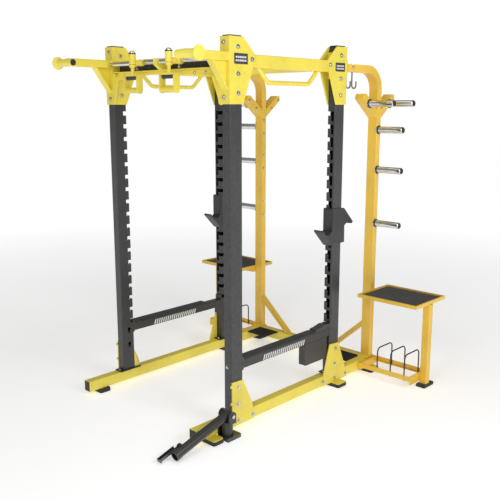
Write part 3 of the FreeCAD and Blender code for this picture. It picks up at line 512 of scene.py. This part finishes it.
def carriage_trim():
    """Chrome dome and black ring on each handle post, a thin black ring as painted shade of its
    groove, rings on the knob.
    """
    for side in SIDES:
        handle_low, handle_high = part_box(f"{side}_handle")
        sleeve_low, sleeve_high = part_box(f"{side}_handle_sleeve")
        post_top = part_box(f"{side}_carriage")[1].z
        x = (handle_low.x + handle_high.x) / 2
        y = (sleeve_low.y + sleeve_high.y) / 2
        dome = bmesh.new()
        lathe(dome, DOME_PROFILE, (x, y, handle_high.z), UP)
        piece(f"{side}_post_dome", dome, "chrome", f"{side}_swing_handle")
        collar = bmesh.new()
        lathe(collar, COLLAR_PROFILE, (x, y, post_top), UP)
        # thin black ring: painted shade of the groove
        hoop(collar, (x, y, post_top - GROOVE_SHADE_DROP), UP, GROOVE_SHADE_RADIUS, GROOVE_SHADE_THICK)
        piece(f"{side}_post_rings", collar, "cap_plastic", f"{side}_slider")
        pin_low, pin_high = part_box(f"{side}_pull_pin")
        x = (pin_low.x + pin_high.x) / 2
        y = (pin_low.y + pin_high.y) / 2
        knob = bmesh.new()
        for i in range(KNOB_RINGS):
            z = pin_low.z + KNOB_RING_START + i * KNOB_RING_PITCH
            hoop(knob, (x, y, z), UP, KNOB_RING_RADIUS, KNOB_RING_THICK, **KNOB_HOOP)
        piece(f"{side}_knob_rings", knob, "bright_steel", f"{side}_lock")


SLEEVE_RING_INSET = 0.003
SLEEVE_RING_SINK = 0.0004
SLEEVE_RING_THICK = 0.0014


def grip_rings():
    """Turned rings at both ends of the black sleeve of a handle."""
    for side in SIDES:
        low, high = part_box(f"{side}_handle_sleeve")
        y = (low.y + high.y) / 2
        z = (low.z + high.z) / 2
        radius = (high.z - low.z) / 2 - SLEEVE_RING_SINK
        rings = bmesh.new()
        for x in (low.x + SLEEVE_RING_INSET, high.x - SLEEVE_RING_INSET):
            hoop(rings, (x, y, z), (1, 0, 0), radius, SLEEVE_RING_THICK, **SMALL_HOOP)
        piece(f"{side}_sleeve_rings", rings, "bright_steel", f"{side}_swing_handle")


RIM_WALL = 0.0018                       # wall of the floor tube, seen round its plug
RIM_REACH = 0.005                       # how far the rim goes past the rail's end


def rail_rims():
    """Painted rim of the tube round each rail end's black plug."""
    for side in SIDES:
        low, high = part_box(f"{side}_base_rail")
        x0, x1 = low.x - PROUD, high.x + PROUD
        z0, z1 = low.z + RIM_WALL, high.z - RIM_WALL
        rims = bmesh.new()
        for start, y1 in ((low.y - RIM_REACH, low.y), (high.y, high.y + RIM_REACH)):
            y0 = start - PROUD
            slab(rims, (x0, y0, z1), (x1, y1, high.z + PROUD))
            slab(rims, (x0, y0, low.z - PROUD), (x1, y1, z0))
            slab(rims, (x0, y0, z0), (low.x + RIM_WALL, y1, z1))
            slab(rims, (high.x - RIM_WALL, y0, z0), (x1, y1, z1))
        piece(f"{side}_rail_rims", rims, "frame_paint")


MARK_COUNT = 20
MARK_PITCH = 0.0215
MARK_WIDTH = 0.011
MARK_SLANT = 0.012
MARK_TOP = 0.034                        # below the top of the rubber strip
MARK_BOTTOM = 0.071
MARK_SHIFT = 0.04                       # middle of the row, behind that of the strip
STRIP_OVERHANG = 0.003                  # of the strip, over the arm's side faces


def safety_marks():
    """Row of slanted bars printed on both faces of each safety arm."""
    for side in SIDES:
        low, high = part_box(f"{side}_safety_liner")
        bottom = high.z - MARK_BOTTOM
        top = high.z - MARK_TOP
        start = (low.y + high.y) / 2 - MARK_COUNT * MARK_PITCH / 2 + MARK_SHIFT
        marks = bmesh.new()
        for face, out in ((low.x + STRIP_OVERHANG, -1), (high.x - STRIP_OVERHANG, 1)):
            for i in range(MARK_COUNT):
                y = start + i * MARK_PITCH
                outline = ((y, bottom), (y + MARK_WIDTH, bottom),
                           (y + MARK_WIDTH + MARK_SLANT, top), (y + MARK_SLANT, top))
                faces = [[marks.verts.new((x, a, b)) for a, b in outline]
                         for x in (face - out * PROUD, face + out * PROUD)]
                skin(marks, faces, joined=False)
        piece(f"{side}_safety_marks", marks, "marking", f"{side}_safety")


FRONT_BADGE = (0.112, 0.061)            # length and height
REAR_BADGE = (0.105, 0.057)
BADGE_BARS = 6                          # in a row; the rest are shares of the badge
BAR_ROWS = (0.24, 0.56)
BAR_MARGIN = 0.10
BAR_PITCH = 0.135
BAR_LONG = 0.10
BAR_TALL = 0.17


def badge_trim():
    """Plain pale bars on each blank badge."""
    low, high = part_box("blank_badges")
    badges = ((low.y, high.z - FRONT_BADGE[1], FRONT_BADGE),
              (high.y - REAR_BADGE[0], low.z, REAR_BADGE))
    bars = bmesh.new()
    for x, out in ((high.x, 1), (low.x, -1)):
        for y0, z0, (long, tall) in badges:
            for row in BAR_ROWS:
                for i in range(BADGE_BARS):
                    y = y0 + long * (BAR_MARGIN + BAR_PITCH * i)
                    slab(bars, (x - out * PROUD, y, z0 + tall * row),
                         (x + out * PROUD, y + long * BAR_LONG, z0 + tall * (row + BAR_TALL)))
    piece("badge_marks", bars, "marking")


WEB_DEPTH = 0.079                       # front beam's web, behind its front edge
SHADE_SHEET_FOOT = 0.066                      # dark strips of painted shade in the channel's recess, over the foot of the beam
SHADE_SHEET_TOP = 0.1315
SHADE_SHEET_THICK = 0.003
SHADE_SHEET_INNER_END = 0.016                 # from the cage's middle, past the bracket
SHADE_SHEET_OUTER_GAP = 0.002                 # inside the beam's end


def channel_painted_shade():
    """Dark strips on the web of the front beam, on both sides of its bracket: painted shade of
    the channel's recess.
    """
    low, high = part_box("front_beam")
    web = low.y + WEB_DEPTH
    strips = bmesh.new()
    for sign in SIDES.values():
        x0, x1 = sorted((sign * SHADE_SHEET_INNER_END, sign * (high.x - SHADE_SHEET_OUTER_GAP)))
        # dark sheet where the recess has only shade: painted shade
        slab(strips, (x0, web - SHADE_SHEET_THICK, low.z + SHADE_SHEET_FOOT),
             (x1, web + SUNK, low.z + SHADE_SHEET_TOP))
    piece("channel_painted_shade", strips, "cap_plastic")


PAINT_THICK = 0.0005                    # paint on the slide rail's bracket
BRACKET_HALF = 0.0155                   # half its width, with the paint
BRACKET_NOSE = (0.032, 0.062)           # foot and top of its nose, over its foot
BRACKET_TOP_START = 0.066               # its top starts this far behind the nose
BRACKET_FOOT_START = 0.042              # and its foot this far
BRACKET_TOP_GAP = 0.0001
BRACKET_FOOT_PAINT = 0.0001
RAIL_AXIS = (0.021, 0.047)              # behind the bracket's nose and over its foot
SOCKET_START = 0.0205                   # inside the arm's inner face
SOCKET_PROFILE = ((0, 0.0131), (0, 0.0206), (0.0008, 0.0214), (0.0208, 0.0214),
                  (0.0208, 0.0131), (0, 0.0131))


def rail_paint():
    """Paint on the slide rail's middle bracket and end sockets."""
    low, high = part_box("slide_rail")
    front = low.y - PAINT_THICK
    top = high.z - BRACKET_TOP_GAP
    outline = ((front, low.z + BRACKET_NOSE[0]), (front, low.z + BRACKET_NOSE[1]),
               (low.y + BRACKET_TOP_START, top), (high.y, top), (high.y, low.z + SUNK),
               (low.y + BRACKET_FOOT_START, low.z - BRACKET_FOOT_PAINT))
    shell = bmesh.new()
    ends = [[shell.verts.new((x, y, z)) for y, z in outline]
            for x in (-BRACKET_HALF, BRACKET_HALF)]
    skin(shell, ends, joined=False)
    for sign in SIDES.values():
        start = (sign * (high.x - SOCKET_START), low.y + RAIL_AXIS[0], low.z + RAIL_AXIS[1])
        lathe(shell, SOCKET_PROFILE, start, (sign, 0, 0))
    piece("rail_paint", shell, "frame_paint")


ARM_UNDER = 0.045                       # pull-up arm's underside, below the beam's top
ARM_OVER = 0.005                        # and its top, above the beam's
GRIP_WELD_INSET = 0.010                 # from the ends of the grip bar's box
GRIP_WELD_DROP = 0.001
GRIP_WELD_ROUND = 0.0165
GRIP_BEAD = 0.0028


def frame_welds():
    """Beads on the arms, the side beams' ends and the grip bars."""
    beads = bmesh.new()
    for side in SIDES:
        arm_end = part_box(f"{side}_pullup_arm")[1].y
        low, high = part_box(f"{side}_side_beam")
        arm = upright_rectangle(low.x, high.x, high.z - ARM_UNDER, high.z + ARM_OVER, arm_end)
        bead(beads, arm, closed=True)
        for y in (low.y, high.y):
            bead(beads, upright_rectangle(low.x, high.x, low.z, high.z, y), closed=True)
        grip_low, grip_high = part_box(f"{side}_side_grip_bar")
        x = (grip_low.x + grip_high.x) / 2
        for y in (grip_low.y + GRIP_WELD_INSET, grip_high.y - GRIP_WELD_INSET):
            joint = circle((x, y, low.z - GRIP_WELD_DROP), UP, GRIP_WELD_ROUND)
            bead(beads, joint, GRIP_BEAD, closed=True)
    piece("frame_welds", beads, "frame_paint")


COLUMN_DEEP = 0.051                     # storage column's section, front to back
COLUMN_WELD_LIFT = 0.001
COLUMN_BEAD = 0.0034
PEG_ARM_TALL = 0.062                    # peg arm's height where it meets its column
PEG_ARM_BEAD = 0.003


def storage_welds():
    """Beads round the columns' feet and up the roots of the upper pegs' arms."""
    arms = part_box("horn_arms")[0].z
    beads = bmesh.new()
    for side, sign in SIDES.items():
        low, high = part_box(f"{side}_storage_column")
        inner, outer = (low.x, high.x) if sign > 0 else (high.x, low.x)
        front = high.y - COLUMN_DEEP
        foot = level_rectangle(inner, outer, front, high.y, low.z + COLUMN_WELD_LIFT)
        bead(beads, foot, COLUMN_BEAD, closed=True)
        for y in (front, high.y):
            for x in (inner, outer):
                bead(beads, [(x, y, arms), (x, y, arms + PEG_ARM_TALL)], PEG_ARM_BEAD)
    piece("storage_welds", beads, "storage_paint")


PEG_FLANGE = 0.034                      # from a peg's axis to the edge of its flange
PEG_FLANGE_THICK = 0.0062
PEG_DROPS = (0.190, 0.484)              # second and third peg, below the upper pair
WASHER_PROFILE = ((0, 0.0252), (0, 0.031), (0.003, 0.031), (0.003, 0.0252), (0, 0.0252))


def peg_washers():
    """Dark stop washer at the root of each plate peg."""
    low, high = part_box("storage_horns")
    column_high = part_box("right_storage_column")[1]
    middle = column_high.y - COLUMN_DEEP / 2
    highest = high.z - PEG_FLANGE
    spread = (high.y - low.y) / 2 - PEG_FLANGE
    places = [(-spread, highest), (spread, highest)]
    places += [(0, highest - drop) for drop in PEG_DROPS]
    places.append((0, low.z + PEG_FLANGE))
    washers = bmesh.new()
    for sign in SIDES.values():
        x = sign * (column_high.x + PEG_FLANGE_THICK)
        for y, z in places:
            lathe(washers, WASHER_PROFILE, (x, middle + y, z), (sign, 0, 0))
    piece("peg_washers", washers, "black_rubber")


POST_WIDE = 0.055                       # outer storage post's section across the cage
SEAM_HEIGHT = 0.0185                    # over the floor
SEAM_BEAD = 0.003


def post_foot_seams():
    """Moulded seam round the rubber foot of each outer storage post."""
    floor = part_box("rubber_feet")[0].z
    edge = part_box("storage_posts")[1].x
    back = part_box("right_storage_column")[1].y
    seams = bmesh.new()
    for sign in SIDES.values():
        x = sign * (edge - POST_WIDE / 2)
        seam = level_rectangle(x - POST_WIDE / 2, x + POST_WIDE / 2, back - COLUMN_DEEP, back,
                               floor + SEAM_HEIGHT)
        bead(seams, seam, SEAM_BEAD, closed=True)
    piece("post_foot_seams", seams, "black_rubber")


def build_pieces():
    """All pieces that the CAD frame doesn't hold."""
    carriage_trim()
    grip_rings()
    rail_rims()
    safety_marks()
    badge_trim()
    channel_painted_shade()
    rail_paint()
    frame_welds()
    storage_welds()
    peg_washers()
    post_foot_seams()


# ---- studio ---------------------------------------------------------------
SURROUND_LIGHT = 0.24                   # strength of the surround as a light
SURROUND_SEEN = 1.0                     # and as the camera sees it
FLOOR_SIZE = 80.0
FLOOR_GAP = 0.0005                      # between the floor and the feet
LIGHTS = {                              # place, target, size, watts
    "key": ((5.0, -0.4, 3.0), (0.2, -0.2, 1.4), 2.0, 85.0),
    "front": ((1.8, -3.2, 3.1), (0.3, -0.5, 1.9), 1.2, 32.0),
    "top": ((0.0, -0.8, 5.2), (0.0, 0.0, 1.0), 3.6, 30.0),
}


def area_light(name, place, target, size, power):
    """Square soft light aimed at a point."""
    light = bpy.data.lights.new(name, "AREA")
    light.size = size
    light.energy = power
    lamp = bpy.data.objects.new(name, light)
    lamp.location = place
    lamp.rotation_euler = (Vector(target) - Vector(place)).to_track_quat("-Z", "Y").to_euler()
    SCENE.collection.objects.link(lamp)


def studio():
    """Pale floor, soft lights and an even white surround."""
    floor_place = (0, 0, CAD_BOX[0][2] - FLOOR_GAP)
    bpy.ops.mesh.primitive_plane_add(size=FLOOR_SIZE, location=floor_place)
    floor = bpy.context.object
    floor.name = "studio_floor"
    floor.data.materials.append(floor_paint("studio_floor"))
    world = bpy.data.worlds.new("studio")
    SCENE.world = world
    world.use_nodes = True
    tree = world.node_tree
    backdrop = tree.nodes["Background"]
    backdrop.inputs["Color"].default_value = (1.0, 1.0, 1.0, 1.0)
    light_path = tree.nodes.new("ShaderNodeLightPath")
    level = tree.nodes.new("ShaderNodeMapRange")
    level.inputs["To Min"].default_value = SURROUND_LIGHT
    level.inputs["To Max"].default_value = SURROUND_SEEN
    tree.links.new(light_path.outputs["Is Camera Ray"], level.inputs["Value"])
    tree.links.new(level.outputs["Result"], backdrop.inputs["Strength"])
    for name, settings in LIGHTS.items():
        area_light(name, *settings)
    SCENE.view_settings.view_transform = "Standard"


# ---- camera ---------------------------------------------------------------
CAMERA_PLACE = (3.5728, -3.5250, 2.0357)
CAMERA_AZIMUTH = math.radians(43.62)
CAMERA_PITCH = math.radians(11.46)
CAMERA_LENS = 50.69
SENSOR_WIDTH = 36.0
CLIP_END = 200.0


def camera():
    """Camera at the photograph's viewing angle."""
    data = bpy.data.cameras.new("camera")
    data.lens = CAMERA_LENS
    data.sensor_width = SENSOR_WIDTH
    data.clip_end = CLIP_END
    eye = bpy.data.objects.new("camera", data)
    eye.location = CAMERA_PLACE
    eye.rotation_euler = (math.pi / 2 - CAMERA_PITCH, 0.0, CAMERA_AZIMUTH)
    SCENE.collection.objects.link(eye)
    SCENE.camera = eye


dress_frame()
build_pieces()
studio()
camera()
